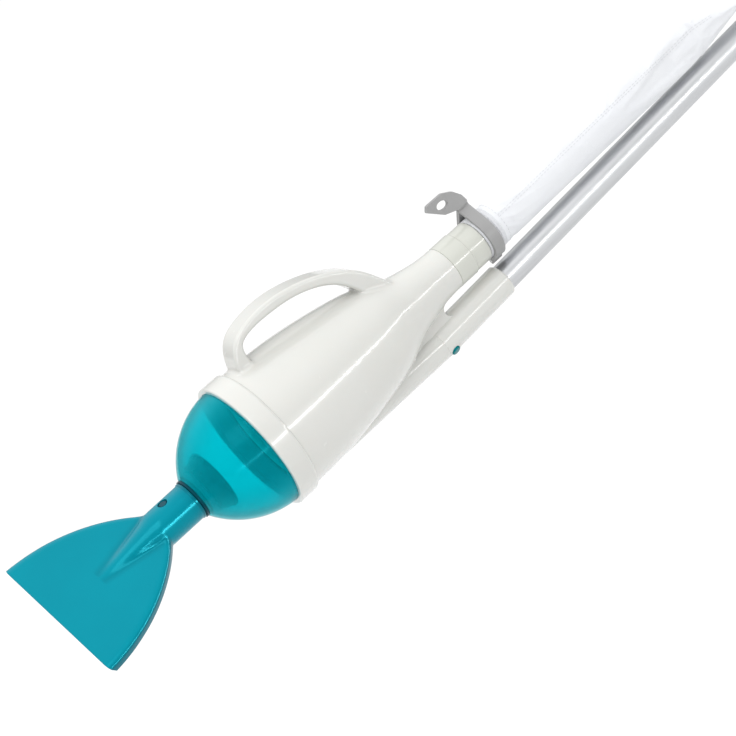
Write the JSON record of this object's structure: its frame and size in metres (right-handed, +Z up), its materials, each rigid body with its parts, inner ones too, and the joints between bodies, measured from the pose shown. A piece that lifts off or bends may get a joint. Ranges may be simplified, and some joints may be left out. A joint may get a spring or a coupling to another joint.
{
  "type": "pool vacuum head",
  "caption": "Hand-held pool and spa vacuum head with swivelling fishtail nozzle, clear valve dome, bottle-shaped body with handle, clamped filter bag and push-in pole.",
  "frame": {"origin": "centre of the pole section's free end, on the pole axis, where the pole is held", "axes": "+X along the head's own axis from the nozzle mouth towards the pole's free end, +Z up towards the carrying handle, +Y completes a right-handed frame; the pole leans 2.9 degrees from +X towards +Z"},
  "size_m": [0.8252, 0.1208, 0.1486],
  "materials": {
    "teal_plastic": "gloss moulded",
    "clear_teal": "clear tinted moulded plastic",
    "dark_teal_plastic": "gloss moulded",
    "spigot_ring_plastic": "satin moulded",
    "white_plastic": "gloss moulded",
    "outlet_plastic": "gloss moulded",
    "seal_rubber": "matte",
    "spring_steel": "drawn",
    "clamp_plastic": "satin moulded",
    "clamp_pin_steel": "drawn",
    "bag_fabric": "fine felted filter cloth",
    "bag_trim": "woven tape",
    "pole_aluminium": "satin drawn",
    "plug_plastic": "moulded",
    "button_teal": "gloss moulded"
  },
  "bodies": {
    "body": {"body_shell": "white_plastic", "handle": "white_plastic", "pole_socket": "white_plastic", "dome_seal": "seal_rubber", "outlet_adaptor": "outlet_plastic", "outlet_o_ring": "seal_rubber", "bag_collar": "bag_trim", "filter_bag": "bag_fabric", "bag_end_binding": "bag_trim", "clamp_fixed_jaw": "clamp_plastic", "clamp_hinge_pin": "clamp_pin_steel", "pole_tube": "pole_aluminium", "pole_plug": "plug_plastic", "pole_button_spring": "spring_steel"},
    "dome": {"front_dome": "clear_teal"},
    "nozzle": {"nozzle_fan": "teal_plastic", "inlet_spigot": "dark_teal_plastic", "spigot_o_ring": "seal_rubber", "spigot_snap_ring": "spigot_ring_plastic", "valve_seat": "dark_teal_plastic", "valve_hinge_pin": "spring_steel", "nozzle_button_spring": "spring_steel"},
    "nozzle_button": {"nozzle_button": "dark_teal_plastic"},
    "valve_flap": {"valve_flap": "seal_rubber"},
    "clamp_moving_jaw": {"clamp_moving_jaw": "clamp_plastic"},
    "pole_button": {"pole_button": "button_teal"}
  },
  "joints": [
    {"name": "dome_twist", "type": "hinge", "parent": "body", "child": "dome", "pos_m": [-0.61854, 0, 0.02449], "axis": [1, 0, 0], "range_deg": [0, 20]},
    {"name": "nozzle_swivel", "type": "hinge", "parent": "dome", "child": "nozzle", "pos_m": [-0.67934, 0, 0.02449], "axis": [1, 0, 0], "continuous": true},
    {"name": "valve_flap_swing", "type": "hinge", "parent": "nozzle", "child": "valve_flap", "pos_m": [-0.66634, 0, 0.04129], "axis": [0, -1, 0], "range_deg": [0, 65]},
    {"name": "nozzle_button_press", "type": "slide", "parent": "nozzle", "child": "nozzle_button", "axis": [0, 0.1736, -0.9848], "range_m": [0, 0.0024], "stiffness_N_per_m": 500, "springref_m": -0.002, "deforming": ["nozzle_button_spring"]},
    {"name": "pole_button_press", "type": "slide", "parent": "body", "child": "pole_button", "axis": [-0.0358, 0.7071, 0.7062], "range_m": [0, 0.0038], "stiffness_N_per_m": 600, "springref_m": -0.002, "deforming": ["pole_button_spring"]},
    {"name": "clamp_open", "type": "hinge", "parent": "body", "child": "clamp_moving_jaw", "pos_m": [-0.34979, 0, 0.00089], "axis": [1, 0, 0], "range_deg": [0, 45]}
  ]
}
